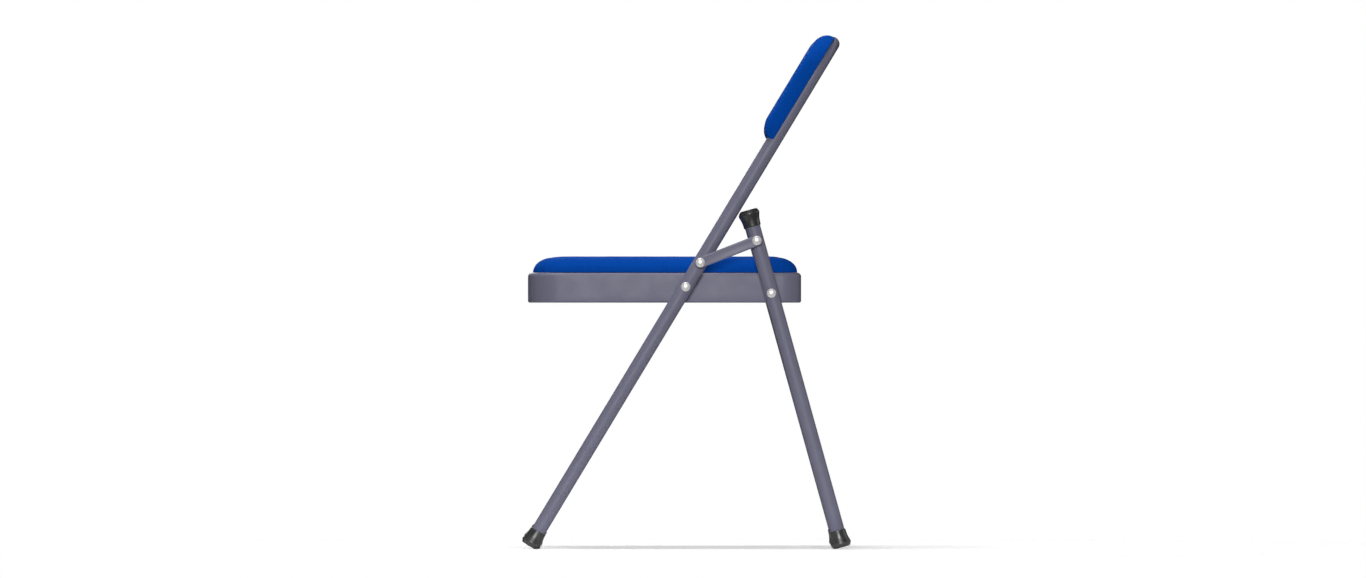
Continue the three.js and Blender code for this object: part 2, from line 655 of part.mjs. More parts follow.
/** Everything that there is one of on the left and one of on the right. */
function addSide(side, direction) {
  const x = direction * TUBE_CENTRE_X;
  const linkOnFrame = onFrame(LINK_PIVOT_ON_FRAME);
  const linkOnLeg = onLeg(LINK_PIVOT_ON_LEG);

  const legTube = straightTube(
    TUBE_RADIUS, TUBE_WALL, LEG_FOOT + CAP_FLOOR + GAP, LEG_TOP - CAP_FLOOR - GAP).translate(x, 0, 0);
  add(legs, `rear_leg_${side}`, cut(legTube, ...rivetHoles(0, LINK_PIVOT_ON_LEG)), paintedSteel());

  add(frame, `front_foot_${side}`, footCap(x, FRAME_FOOT, frame), blackRubber());
  add(legs, `rear_foot_${side}`, footCap(x, LEG_FOOT, legs), blackRubber());
  add(legs, `leg_top_cap_${side}`, topCap(x, LEG_TOP), blackRubber());

  const headX = TUBE_OUTER_X + GAP;
  const tailX = PLATE_INNER_X - GAP;
  const linkHeadX = LINK_OUTER_X + GAP;
  addAt(SEAT_PIVOT, `seat_pivot_rivet_${side}`, rivet(direction, headX, tailX), brightRivet());
  addAt(LEG_PIVOT, `leg_pivot_rivet_${side}`, rivet(direction, headX, tailX), brightRivet());
  addAt(linkOnLeg, `link_leg_rivet_${side}`,
    rivet(direction, linkHeadX, TUBE_INNER_X - GAP), brightRivet());
  addAt(linkOnFrame, `link_frame_rivet_${side}`,
    shortRivet(direction, linkHeadX, TUBE_OUTER_X + 2 * GAP), brightRivet());

  const spacerEnds = [SEAT_HALF_WIDTH + GAP, TUBE_INNER_X - GAP];
  addAt(SEAT_PIVOT, `seat_pivot_spacer_${side}`, spacer(direction, ...spacerEnds), greyNylon());
  addAt(LEG_PIVOT, `leg_pivot_spacer_${side}`, spacer(direction, ...spacerEnds), greyNylon());
  const washerEnds = [TUBE_OUTER_X + GAP, LINK_INNER_X - GAP];
  addAt(linkOnLeg, `link_leg_washer_${side}`, spacer(direction, ...washerEnds), greyNylon());
  addAt(linkOnFrame, `link_frame_washer_${side}`, spacer(direction, ...washerEnds), greyNylon());

  add(chair, `link_bar_${side}`, linkBar(direction), paintedSteel());
  add(chair, `seat_side_plate_${side}`, sidePlate(direction), paintedSteel());
}

addFrontFrame();
addBackRest();
addSeat();
addRearLegs();
for (const [side, direction] of Object.entries(SIDES)) addSide(side, direction);

export default chair;
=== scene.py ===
import json
import math
import random

import bmesh
import bpy
from mathutils import Matrix, Vector, noise


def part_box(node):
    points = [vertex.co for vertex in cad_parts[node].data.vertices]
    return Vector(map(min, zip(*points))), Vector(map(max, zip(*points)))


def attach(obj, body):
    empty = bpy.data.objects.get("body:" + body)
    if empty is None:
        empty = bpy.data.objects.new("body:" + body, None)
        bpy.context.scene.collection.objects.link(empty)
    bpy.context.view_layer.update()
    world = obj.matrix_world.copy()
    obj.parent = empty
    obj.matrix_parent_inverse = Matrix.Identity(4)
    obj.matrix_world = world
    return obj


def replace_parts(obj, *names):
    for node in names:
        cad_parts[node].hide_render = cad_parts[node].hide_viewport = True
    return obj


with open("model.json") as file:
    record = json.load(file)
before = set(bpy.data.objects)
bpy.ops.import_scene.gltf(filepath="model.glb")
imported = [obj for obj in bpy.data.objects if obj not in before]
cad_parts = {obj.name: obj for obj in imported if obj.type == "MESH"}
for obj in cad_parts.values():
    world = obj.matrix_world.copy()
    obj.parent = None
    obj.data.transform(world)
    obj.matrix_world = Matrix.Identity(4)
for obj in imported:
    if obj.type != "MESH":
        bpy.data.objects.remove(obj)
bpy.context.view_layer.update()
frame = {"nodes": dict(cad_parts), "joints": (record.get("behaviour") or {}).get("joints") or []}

# A padded steel folding chair. Pieces are drawn in millimetres in the space that suits them (the chair's
# own, the front frame's or the rear legs') and placed, in metres, by that space's matrix.

MM = 0.001
SIDES = {"left": 1, "right": -1}

# -------- driving dimensions, in millimetres

# Tubes and their welds
FRONT_BEND = 60.0  # radius of the front tube's two bends, at its centre line
LEG_END_ROUND = 0.8
BRACE_GAP = 0.1  # between a brace's end and the tube it is welded to
BEAD_RADIUS = 2.1
BEAD_OFF_BRACE, BEAD_OFF_TUBE = 0.7, 0.4  # how far its centre line stands off the two surfaces
BEAD_MEAN = 0.86  # share of the radius, which the ripples bring it up to
BEAD_RIPPLES = ((24, 0.1), (3, 0.1))  # how many go round, and their share of the radius
TACK_LENGTH, TACK_RADIUS = 9.0, 1.9
TACK_Y, TACK_OFF_PANEL = 3.4, 0.1  # behind the tube's centre line, and out from the panel's rim
TACK_RIPPLE = (30, 0.12)  # how fast it goes along a tack, and its share of the radius
TACKS_AT = (0.16, 0.42, 0.64)  # shares of the back panel's height

# Rubber caps
CAP_LENGTH = 26.0
CAP_FLOOR = 5.0  # rubber between the tube's end and the end face
CAP_LOOSE = 0.15  # round the tube
CAP_RING = (5.4, 8.2, 0.9)  # moulded in the end face: its radii, and how deep it is
CAP_MOUTH = 12.3  # outer radius
CAP_SIDE = (  # radius and height above the end face
    (11.3, 0), (12.9, 0.7), (13.9, 2.6), (15.3, 6.0), (14.5, 9.5), (13.1, 15.0), (12.5, 20.5),
    (CAP_MOUTH, 24.6))
CAP_LIP = ((0.05, 0.6), (0.35, 0.1), (0.7, 0))  # in from the mouth's outer radius, and down from its end

# Fasteners
RIVET_SHANK = 4.0
RIVET_HEAD, RIVET_HEAD_HEIGHT = 7.0, 3.5
RIVET_TAIL, RIVET_TAIL_HEIGHT = 6.5, 2.0
RIVET_HOLE = 4.3
WASHER_RADIUS, WASHER_EDGE = 7.5, 0.5
HEAD_EDGE = 0.35  # the bevel under a head's rim
SCREW_SHANK = 2.5
SCREW_HEAD, SCREW_HEAD_HEIGHT, SCREW_HEAD_RIM = 5.0, 2.6, 0.9
THREAD_PITCH, THREAD_DEPTH = 0.8, 0.35
POINT_DRAWN_IN = 0.4  # how much narrower a screw's end is
RECESS_MOUTH = (2.7, 0.55, -0.3)  # half the length and width of a slot, and how deep in the head
RECESS_BOTTOM = (1.35, 0.385, 1.5)

# Sheet steel. Corners are an outline's low and high ones
PAN_WALL, PAN_EDGE, PAN_HEM, PAN_FLANGE = 1.5, 6.0, 3.0, 8.0
PAN_CORNERS = (51, 30)
PANEL_WALL, PANEL_EDGE = 1.2, 3.0
PANEL_RIM = (  # in from the rim's outside, and forward from its edge
    (0, 0.6), (0.2, 0.15), (0.6, 0), (1.0, 0.15), (1.2, 0.6))
PANEL_CORNERS = (14, 50)
STIFFENER_WALL, STIFFENER_BEND = 1.5, 3.0
SPOT_WELD = ((0, 0), (2.6, 0), (2.4, -0.25), (1.2, -0.32), (0, -0.34))  # radius and height
SPOT_WELDS = 6  # in each of a stiffener's two rows
SPOT_ROW_Y, SPOT_ROW_SHARE = 6, 0.84  # from the stiffener's middle, and of its length
SPOT_SINK = 0.02  # how far a spot is sunk in the steel
PLATE_CORNER = 8.0
LINK_HALF_WIDTH = 8.0
HOLE_PAST = 3  # how far a hole's cutting rod goes beyond the plate

# Cushions. Edges are how far in and up the rounding goes, at the sides and the ends
SEAT_CORNERS, SEAT_BOARD_CORNERS = (48, 27), (39, 18)
SEAT_EDGES = ((29, 24), (29, 24))
BACK_CORNERS, BACK_BOARD_CORNERS = (9, 61), (12, 50)
BACK_EDGES = ((9, 10), (24, 24))
BACK_PAST = 1.5  # how far the back cover reaches past its CAD solid at each end
VOXEL = 4.5
SKIRT = 9.0  # how far a cushion is made past its base, before the base is cut flat
GLUED = 2.0  # the height below which a cover is held to its base
BOARD_ROOM, TUBE_ROOM = 0.5, 0.15  # round the board and the tube inside a cushion
TUBE_PAST = 30  # how far the tube's channel is cut below the back cushion
SWELL = 1.4  # the most a cover swells
SLACK = 0.5  # how much smaller than its plan a cover starts
TOP_DROP = 0.4  # from the CAD solid's top to the cover's highest point
TUCK = 0.6  # depth of the tucks round a cover's corners
TUCKS_PER_MM = 0.42  # of a corner's radius, in each radian of the corner
LUMPS = ((38.0, 0.35), (14.0, 0.1))  # how far apart a cover's faint lumps are, and how high

# How finely things are made
TUBE_SIDES, BEAD_SIDES = 40, 14
SMALLEST_CORNER = 0.5
MERGE = 1e-4  # points closer than this are one
CLOTH_STEPS = 20  # of the simulation
ALL_SMOOTH = 180  # degrees

# -------- where things are, from the frame


def centre(node):
    low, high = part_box(node)
    return (low + high) / 2


def size_mm(node):
    low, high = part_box(node)
    return (high - low) / MM


def space(origin, towards):
    """Millimetres in a tube's space: z up the tube, y square to it and rearward, x across the chair."""
    up = Vector((0, towards.y - origin.y, towards.z - origin.z)).normalized()
    rear = Vector((0, up.z, -up.y))
    turn = Matrix((Vector((1, 0, 0)), rear, up)).transposed().to_4x4()
    return Matrix.Translation((0, origin.y, origin.z)) @ turn @ Matrix.Scale(MM, 4)


pivot = {joint["name"]: Vector(joint["pos_m"]) for joint in frame["joints"]}
SEAT_PIVOT = pivot["seat_fold"]
LEG_PIVOT = pivot["rear_leg_fold"]
LINK_ON_LEG = pivot["link_swing"]
LINK_ON_FRAME = centre("link_frame_rivet_left")
CHAIR = Matrix.Scale(MM, 4)
FRAME = space(SEAT_PIVOT, LINK_ON_FRAME)
LEGS = space(LEG_PIVOT, LINK_ON_LEG)

TUBE_RADIUS = size_mm("rear_leg_left").x / 2
TUBE_X = centre("rear_leg_left").x / MM


def within(node, node_space):
    """A CAD node's lowest and highest corners in one of the spaces, in millimetres."""
    inverse = node_space.inverted()
    points = [inverse @ v.co for v in frame["nodes"][node].data.vertices]
    low = Vector([min(p[i] for p in points) for i in range(3)])
    high = Vector([max(p[i] for p in points) for i in range(3)])
    return low, high


def shift(x, y, z):
    return Matrix.Translation((x, y, z))


def turn_about(axis, degrees):
    return Matrix.Rotation(math.radians(degrees), 4, axis)


def assign(thing, **values):
    for key, value in values.items():
        setattr(thing, key, value)


def new_object(name, data):
    obj = bpy.data.objects.new(name, data)
    bpy.context.scene.collection.objects.link(obj)
    return obj


# -------- camera

LENS = 600  # millimetres, long enough that the far side of the chair hides behind the near side
SENSOR = 36
VIEW_WIDTH = 2.041  # metres across the picture, at the chair's near side
VIEW_CENTRE = Vector((0.23, -0.0053, 0.3885))
CLIP_END = 100


def add_camera():
    """The camera looks along -X, square to the chair's side."""
    data = bpy.data.cameras.new("camera")
    assign(data, lens=LENS, sensor_width=SENSOR, clip_end=CLIP_END)
    camera = new_object("camera", data)
    camera.location = VIEW_CENTRE + Vector((VIEW_WIDTH * LENS / SENSOR, 0, 0))
    camera.rotation_euler = (math.radians(90), 0, math.radians(90))
    bpy.context.scene.camera = camera


add_camera()

# -------- material nodes

THREAD = 0.0011  # metres from one thread of the cloth to the next
THREAD_WANDER = 0.004  # metres
PLY = 0.003  # metres, the thickness of two plies
FLOOR_RADIUS = 1.3  # metres
FLOOR_FADE = (0.3, 0.98)  # shares of the radius between which the floor fades out
WHITE = (1, 1, 1, 1)


class Nodes:
    """A short way to write a material's node tree."""

    def __init__(self, name):
        self.material = bpy.data.materials.new(name)
        self.material.use_nodes = True
        self.tree = self.material.node_tree
        self.shader = self.tree.nodes["Principled BSDF"]
        self.place = self.where("Object")

    def put(self, target, value):
        if isinstance(value, bpy.types.NodeSocket):
            self.tree.links.new(value, target)
        else:
            target.default_value = value

    def add(self, kind, inputs=(), **settings):
        """A new node's outputs."""
        node = self.tree.nodes.new(kind)
        assign(node, **settings)
        for key, value in dict(inputs).items():
            self.put(node.inputs[key], value)
        return node.outputs

    def math(self, operation, *values):
        return self.add("ShaderNodeMath", enumerate(values), operation=operation)[0]

    def vector(self, operation, *values):
        return self.add("ShaderNodeVectorMath", enumerate(values), operation=operation)[0]

    def ramp(self, factor, over, to):
        """A number that goes through "to" as the factor goes over its own range."""
        return self.add("ShaderNodeMapRange", {
            "Value": factor, "From Min": over[0], "From Max": over[1], "To Min": to[0], "To Max": to[1],
        })["Result"]

    def mix(self, factor, a, b):
        """A colour from a to b, a Mix node's inputs 6 and 7 for colours."""
        return self.add("ShaderNodeMix", {0: factor, 6: a, 7: b}, data_type="RGBA")[2]

    def choose(self, factor, a, b):
        """A number from a to b, a Mix node's inputs 2 and 3 for numbers."""
        return self.add("ShaderNodeMix", {0: factor, 2: a, 3: b})[0]

    def noise(self, scale, detail, roughness, place=None):
        inputs = {
            "Vector": place or self.place, "Scale": scale, "Detail": detail, "Roughness": roughness}
        return self.add("ShaderNodeTexNoise", inputs)["Fac"]

    def where(self, kind):
        return self.add("ShaderNodeTexCoord")[kind]

    def split(self, vector):
        return self.add("ShaderNodeSeparateXYZ", {"Vector": vector})

    def bump(self, height, distance, strength, normal=None):
        inputs = {"Height": height, "Distance": distance, "Strength": strength}
        if normal is not None:
            inputs["Normal"] = normal
        return self.add("ShaderNodeBump", inputs)["Normal"]

    def gloss(self, scale, to):
        """A roughness that wanders between two values."""
        return self.ramp(self.noise(scale, 4, 0.6), over=(0.3, 0.7), to=to)

    def grain(self, scale, distance, strength, detail=2, roughness=0.5):
        """The bump of a fine, even grain."""
        return self.bump(self.noise(scale, detail, roughness), distance, strength)

    def set(self, **values):
        for key, value in values.items():
            self.put(self.shader.inputs[key.replace("_", " ")], value)


def linear(red, green, blue):
    """A colour given as it looks on a screen, 0 to 255, as a shader takes it."""
    def one(value):
        value /= 255
        return value / 12.92 if value <= 0.04045 else ((value + 0.055) / 1.055) ** 2.4
    return (one(red), one(green), one(blue), 1.0)


def paint():
    """Satin enamel: a little orange peel, faint scuffs and uneven gloss."""
    n = Nodes("satin_paint")
    cloud = n.noise(scale=14, detail=3, roughness=0.6)
    colour = n.mix(cloud, linear(111, 110, 129), linear(121, 120, 141))
    scuff = n.ramp(n.noise(scale=90, detail=5, roughness=0.75), over=(0.66, 0.8), to=(0.0, 0.35))
    n.set(
        Base_Color=n.mix(scuff, colour, linear(150, 149, 166)),
        Roughness=n.gloss(scale=36, to=(0.4, 0.54)),
        Specular_IOR_Level=0.3,
        Normal=n.grain(scale=420, distance=0.0001, strength=0.12),
    )
    return n.material


def threads(n, across, along, sign):
    """One set of a weave's threads, counted "across" them: how high they stand, and each thread's tone.
    The sign says which of their crossings they go over."""
    number = n.math("FLOOR", across)
    arch = n.math("ABSOLUTE", n.math("SINE", n.math("MULTIPLY", across, math.pi)))
    phase = n.math("MULTIPLY", n.math("ADD", along, number), math.pi)
    over = n.math("MULTIPLY_ADD", n.math("SINE", phase), 0.5 * sign, 0.5)
    tone = n.add("ShaderNodeTexWhiteNoise", {"W": number}, noise_dimensions="1D")["Value"]
    return n.math("MULTIPLY", n.math("POWER", arch, 0.55), over), tone


def weave(n, u, v):
    """A plain weave at u, v, counted in threads: its height, which set is on top, and its tone."""
    warp, warp_tone = threads(n, u, v, 1)
    weft, weft_tone = threads(n, v, u, -1)
    warp_on_top = n.math("GREATER_THAN", warp, weft)
    tone = n.choose(warp_on_top, weft_tone, warp_tone)
    return n.math("MAXIMUM", warp, weft), warp_on_top, tone


def weave_all_round(n, place):
    """The weave laid on along each of the three axes, most where the surface faces that axis."""
    x, y, z = n.split(place)
    facing = [n.math("POWER", n.math("ABSOLUTE", part), 6.0) for part in n.split(n.where("Normal"))]
    total = n.math("ADD", n.math("ADD", facing[0], facing[1]), facing[2])
    blended = [0.0, 0.0, 0.0]
    for weight, (u, v) in zip(facing, ((y, z), (x, z), (x, y))):
        share = n.math("DIVIDE", weight, total)
        pairs = zip(weave(n, u, v), blended)
        blended = [n.math("MULTIPLY_ADD", part, share, so_far) for part, so_far in pairs]
    return blended


def cloth():
    """Royal blue woven cloth, its threads a little wavy, each of its own blue, with painted shade where the
    weave lies low.
    """
    n = Nodes("blue_cloth")
    wander = n.add("ShaderNodeTexNoise", {"Vector": n.place, "Scale": 9.0, "Detail": 2.0})["Color"]
    bent = n.vector("ADD", n.place, n.vector("MULTIPLY", wander, (THREAD_WANDER,) * 3))
    in_threads = n.vector("MULTIPLY", bent, (1 / THREAD,) * 3)
    height, side, tone = weave_all_round(n, in_threads)
    heather = n.noise(scale=520, detail=2, roughness=0.6)
    cloud = n.noise(scale=11, detail=3, roughness=0.55)
    # painted shade: the weave's height darkens the cloth where it lies low between threads and lightens the
    # threads' crowns
    colour = n.mix(height, linear(1, 46, 118), linear(2, 79, 182))
    colour = n.mix(n.math("MULTIPLY", side, 0.2), colour, linear(4, 91, 199))
    colour = n.mix(n.ramp(tone, over=(0.3, 1.0), to=(0.0, 0.3)), colour, linear(3, 61, 148))
    colour = n.mix(n.ramp(heather, over=(0.45, 0.75), to=(0.0, 0.3)), colour, linear(2, 59, 145))
    colour = n.mix(n.ramp(cloud, over=(0.4, 0.7), to=(0.0, 0.16)), colour, linear(2, 57, 139))
    fibres = n.grain(scale=1900, distance=0.00015, strength=0.35, roughness=0.7)
    n.set(
        Base_Color=colour,
        Roughness=0.92,
        Sheen_Weight=0.3,
        Sheen_Roughness=0.55,
        Sheen_Tint=linear(8, 75, 170),
        Specular_IOR_Level=0.04,
        Normal=n.bump(height, distance=0.0003, strength=0.8, normal=fibres),
    )
    return n.material


def rubber():
    """Black moulded rubber. A foot, which is below its space's origin, is dusty towards its end."""
    n = Nodes("black_rubber")
    near_end = n.ramp(n.split(n.where("Generated"))[2], over=(0.0, 0.8), to=(0.6, 0.0))
    foot = n.math("LESS_THAN", n.split(n.place)[2], 0.0)
    speckle = n.ramp(n.noise(scale=160, detail=5, roughness=0.7), over=(0.42, 0.68), to=(0.0, 1.0))
    dust = n.math("MULTIPLY", n.math("MULTIPLY", near_end, speckle), foot)
    cloud = n.noise(scale=50, detail=3, roughness=0.5)
    n.set(
        Base_Color=n.mix(dust, n.mix(cloud, linear(42, 42, 43), linear(54, 54, 55)), linear(92, 89, 84)),
        Roughness=n.gloss(scale=80, to=(0.28, 0.42)),
        Specular_IOR_Level=0.8,
        Normal=n.grain(scale=600, distance=0.00008, strength=0.3, detail=3, roughness=0.6),
    )
    return n.material


def fine_grained(name, colours, cloud, grain, metallic=0.0, gloss=None):
    """Plating or moulded nylon, its colour drifting between two. cloud: the drift's scale, detail and
    roughness. grain: its scale, distance and strength."""
    n = Nodes(name)
    n.set(
        Base_Color=n.mix(n.noise(*cloud), *[linear(*colour) for colour in colours]),
        Metallic=metallic,
        Roughness=n.gloss(*gloss) if gloss else 0.5,
        Normal=n.grain(*grain),
    )
    return n.material


def plywood():
    """Birch ply: long grain on its faces, and the plies as lines in its edge."""
    n = Nodes("plywood")
    along_grain = n.add("ShaderNodeMapping", {"Vector": n.place, "Scale": (6.0, 70.0, 70.0)})[0]
    grain = n.noise(scale=4, detail=6, roughness=0.65, place=along_grain)
    colour = n.mix(grain, linear(205, 168, 120), linear(166, 124, 80))
    plies = n.math("SINE", n.math("MULTIPLY", n.split(n.place)[2], math.tau / PLY))
    dark_ply = n.ramp(plies, over=(0.6, 1.0), to=(0.0, 0.35))
    n.set(
        Base_Color=n.mix(dark_ply, colour, linear(120, 84, 52)),
        Roughness=0.78,
        Normal=n.bump(grain, distance=0.0003, strength=0.4),
    )
    return n.material


def pale_floor():
    """A pale floor that fades into the surround, so that it shows no edge."""
    n = Nodes("pale_floor")
    from_centre = n.add("ShaderNodeVectorMath", {0: n.place}, operation="LENGTH")["Value"]
    cloud = n.noise(scale=2, detail=2, roughness=0.5)
    seen = n.add("ShaderNodeLightPath")["Is Camera Ray"]
    n.set(
        Base_Color=n.mix(cloud, (0.81, 0.81, 0.81, 1), (0.83, 0.83, 0.83, 1)),
        Roughness=0.9,
        Specular_IOR_Level=0.1,
        Emission_Color=WHITE,
        Emission_Strength=n.ramp(seen, over=(0.0, 1.0), to=(0.0, 0.35)),
        Alpha=n.ramp(from_centre, over=[FLOOR_RADIUS * share for share in FLOOR_FADE], to=(1.0, 0.0)),
    )
    return n.material


PAINT, CLOTH, RUBBER = paint(), cloth(), rubber()
RIVET = fine_grained(
    "bright_rivet", ((240, 238, 237), (228, 225, 224)), cloud=(300, 3, 0.6),
    grain=(900, 0.00005, 0.3), metallic=0.3, gloss=(500, (0.26, 0.4)))
ZINC = fine_grained(
    "zinc_screw", ((176, 176, 182), (208, 206, 200)), cloud=(260, 4, 0.6),
    grain=(1200, 0.00005, 0.4), metallic=1.0, gloss=(400, (0.26, 0.44)))
PLYWOOD = plywood()
NYLON = fine_grained(
    "grey_nylon", ((78, 79, 85), (94, 95, 101)), cloud=(120, 3, 0.5), grain=(700, 0.0001, 0.3))

# -------- mesh building


def ring_faces(rings, closed):
    """Quads between rings of the same count; a ring of one index is a point on the axis."""
    faces = []
    following = rings[1:] + rings[:1] if closed else rings[1:]
    for a, b in zip(rings, following):
        count = max(len(a), len(b))
        for i in range(count):
            j = (i + 1) % count
            if len(a) == 1:
                faces.append((a[0], b[j], b[i]))
            elif len(b) == 1:
                faces.append((a[i], a[j], b[0]))
            else:
                faces.append((a[i], a[j], b[j], b[i]))
    return faces


def lofted(loops, closed=False):
    """A mesh through loops of points. Open lofts are closed by a face over each end loop."""
    points, rings = [], []
    for loop in loops:
        rings.append(list(range(len(points), len(points) + len(loop))))
        points.extend(loop)
    faces = ring_faces(rings, closed)
    if not closed:
        if len(rings[0]) > 1:
            faces.append(tuple(reversed(rings[0])))
        if len(rings[-1]) > 1:
            faces.append(tuple(rings[-1]))
    return points, faces


def turned(profile, sides):
    """A profile of (radius, height) points turned round z. Off the axis, it closes on itself."""
    turns = [math.tau * i / sides for i in range(sides)]
    loops = []
    for radius, height in profile:
        if radius:
            loops.append([(radius * math.cos(t), radius * math.sin(t), height) for t in turns])
        else:
            loops.append([(0, 0, height)])
    return lofted(loops, closed=profile[0][0] > 0)


def hoop(middle, radius, across, side, sides):
    """A ring of points in the plane of two directions."""
    turns = [math.tau * i / sides for i in range(sides)]
    return [middle + radius * (math.cos(t) * across + math.sin(t) * side) for t in turns]


def swept(path, radius):
    """A round bar along a path in the x-z plane."""
    across = Vector((0, 1, 0))
    loops = []
    for before, point, after in zip(path[:1] + path, path, path[1:] + path[-1:]):
        side = (after - before).normalized().cross(across).normalized()
        loops.append(hoop(point, radius, across, side, TUBE_SIDES))
    return lofted(loops)


def arc(cx, cy, radius, start, end, steps):
    """Points of an arc, angles in degrees, both ends included."""
    turns = [math.radians(start + (end - start) * i / steps) for i in range(steps + 1)]
    return [(cx + radius * math.cos(t), cy + radius * math.sin(t)) for t in turns]


def between(a, b, count):
    """The points that part the line from a to b into count pieces, without a and b."""
    return [(a[0] + (b[0] - a[0]) * i / count, a[1] + (b[1] - a[1]) * i / count) for i in range(1, count)]


def rounded_rectangle(half_width, low, high, corners, inset, steps, edge_pieces=1):
    """An anticlockwise outline, drawn in by the inset all round. corners: its low and its high radius."""
    w, lo, hi = half_width - inset, low + inset, high - inset
    a, b = (max(corner - inset, SMALLEST_CORNER) for corner in corners)
    arcs = [
        arc(w - a, lo + a, a, -90, 0, steps), arc(w - b, hi - b, b, 0, 90, steps),
        arc(-w + b, hi - b, b, 90, 180, steps), arc(-w + a, lo + a, a, 180, 270, steps)]
    outline = []
    for points, following in zip(arcs, arcs[1:] + arcs[:1]):
        outline += points + between(points[-1], following[0], edge_pieces)
    return outline


def shaded(mesh, sharp_from):
    """Smooth, but for the edges that turn by more than sharp_from degrees."""
    mesh.shade_smooth()
    mesh.set_sharp_from_angle(angle=math.radians(sharp_from))


def placed(name, shape, matrix, material, body, sharp_from=35.0):
    """A new piece from (points, faces), with its faces turned outwards."""
    points, faces = shape
    mesh = bpy.data.meshes.new(name)
    mesh.from_pydata([tuple(p) for p in points], [], faces)
    work = bmesh.new()
    work.from_mesh(mesh)
    bmesh.ops.remove_doubles(work, verts=work.verts, dist=MERGE)
    bmesh.ops.recalc_face_normals(work, faces=work.faces)
    work.to_mesh(mesh)
    work.free()
    # the piece keeps its own space's axes, in metres, so that its material lies along it
    scale = matrix.to_scale().x
    mesh.transform(Matrix.Scale(scale, 4))
    obj = new_object(name, mesh)
    obj.matrix_world = matrix @ Matrix.Scale(1 / scale, 4)
    mesh.materials.append(material)
    shaded(mesh, sharp_from)
    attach(obj, body)
    return obj


def joined(shapes):
    points, faces = [], []
    for more_points, more_faces in shapes:
        start = len(points)
        points += more_points
        faces += [tuple(i + start for i in face) for face in more_faces]
    return points, faces


def moved(shape, matrix):
    points, faces = shape
    return [matrix @ Vector(p) for p in points], faces


def apply_modifiers(obj):
    """The piece's mesh becomes what its modifiers make of it."""
    view = bpy.context.evaluated_depsgraph_get()
    mesh = bpy.data.meshes.new_from_object(obj.evaluated_get(view))
    old = obj.data
    obj.modifiers.clear()
    obj.data = mesh
    bpy.data.meshes.remove(old)


def modified(obj, kind, **settings):
    """Applies one modifier to the piece."""
    assign(obj.modifiers.new(kind, kind), **settings)
    apply_modifiers(obj)


def bevelled(obj, width, segments):
    """Rounds the piece's sharp edges, width in millimetres."""
    modified(
        obj, "BEVEL", width=width * MM, segments=segments, limit_method="ANGLE",
        angle_limit=math.radians(30), harden_normals=False)
    shaded(obj.data, 40)


def carved(obj, shapes):
    """Cuts shapes, given in the piece's own space in millimetres, out of the piece."""
    tools = []
    for i, shape in enumerate(shapes):
        tool = placed(f"{obj.name}_cut_{i}", shape, CHAIR, PAINT, "seat")
        tool.parent = None
        tool.matrix_world = obj.matrix_world.copy()
        modifier = obj.modifiers.new("cut", "BOOLEAN")
        assign(modifier, operation="DIFFERENCE", solver="EXACT", object=tool)
        tools.append(tool)
    apply_modifiers(obj)
    for tool in tools:
        mesh = tool.data
        bpy.data.objects.remove(tool)
        bpy.data.meshes.remove(mesh)


# -------- tubes


def frame_path(from_z):
    """The centre line of the bent front tube, from one foot up, across the top and down to the other."""
    high = within("front_frame_tube", FRAME)[1].z - TUBE_RADIUS
    bend_from = high - FRONT_BEND
    x = TUBE_X
    bend_x = TUBE_X - FRONT_BEND
    points = [(-x, from_z), *between((-x, from_z), (-x, bend_from), 20)]
    points += arc(-bend_x, bend_from, FRONT_BEND, 180, 90, 18)
    points += between((-bend_x, high), (bend_x, high), 8)
    points += arc(bend_x, bend_from, FRONT_BEND, 90, 0, 18)
    points += [*between((x, bend_from), (x, from_z), 20), (x, from_z)]
    return [Vector((px, 0, pz)) for px, pz in points]


def add_front_tube():
    low = within("front_frame_tube", FRAME)[0].z
    shape = swept(frame_path(low), TUBE_RADIUS)
    tube = placed("front_tube_steel", shape, FRAME, PAINT, "front_frame", 60)
    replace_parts(tube, "front_frame_tube")


def add_rear_leg(side, direction):
    node = f"rear_leg_{side}"
    low, high = within(node, LEGS)
    rim = TUBE_RADIUS - LEG_END_ROUND
    profile = [(0, low.z), (rim, low.z), (TUBE_RADIUS, low.z + LEG_END_ROUND)]
    profile += between((TUBE_RADIUS, low.z), (TUBE_RADIUS, high.z), 12)
    profile += [(TUBE_RADIUS, high.z - LEG_END_ROUND), (rim, high.z), (0, high.z)]
    shape = moved(turned(profile, TUBE_SIDES), shift(direction * TUBE_X, 0, 0))
    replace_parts(placed(f"{node}_tube", shape, LEGS, PAINT, "rear_legs", 60), node)


def bead_path(brace_radius, z, direction, turns):
    """The curve on which a brace meets the upright tube, a little off both of them."""
    radius = brace_radius + BEAD_OFF_BRACE
    path = []
    for t in turns:
        y = radius * math.sin(t)
        x = TUBE_X - math.sqrt(TUBE_RADIUS ** 2 - y ** 2) - BEAD_OFF_TUBE
        path.append(Vector((direction * x, y, z + radius * math.cos(t))))
    return path


def weld_bead(brace_radius, z, direction, seed):
    """A rippled bead round the end of a brace."""
    rng = random.Random(seed)
    ripples = [(*ripple, rng.uniform(0, math.tau)) for ripple in BEAD_RIPPLES]
    count = 96
    turns = [math.tau * i / count for i in range(count)]
    path = bead_path(brace_radius, z, direction, turns)
    loops = []
    for i, t in enumerate(turns):
        along = (path[(i + 1) % count] - path[i - 1]).normalized()
        side = along.cross(Vector((0, math.sin(t), math.cos(t)))).normalized()
        out = side.cross(along).normalized()
        ripple = sum(height * math.sin(times * t + phase) for times, height, phase in ripples)
        loops.append(hoop(path[i], BEAD_RADIUS * (BEAD_MEAN + ripple), out, side, BEAD_SIDES))
    return lofted(loops, closed=True)


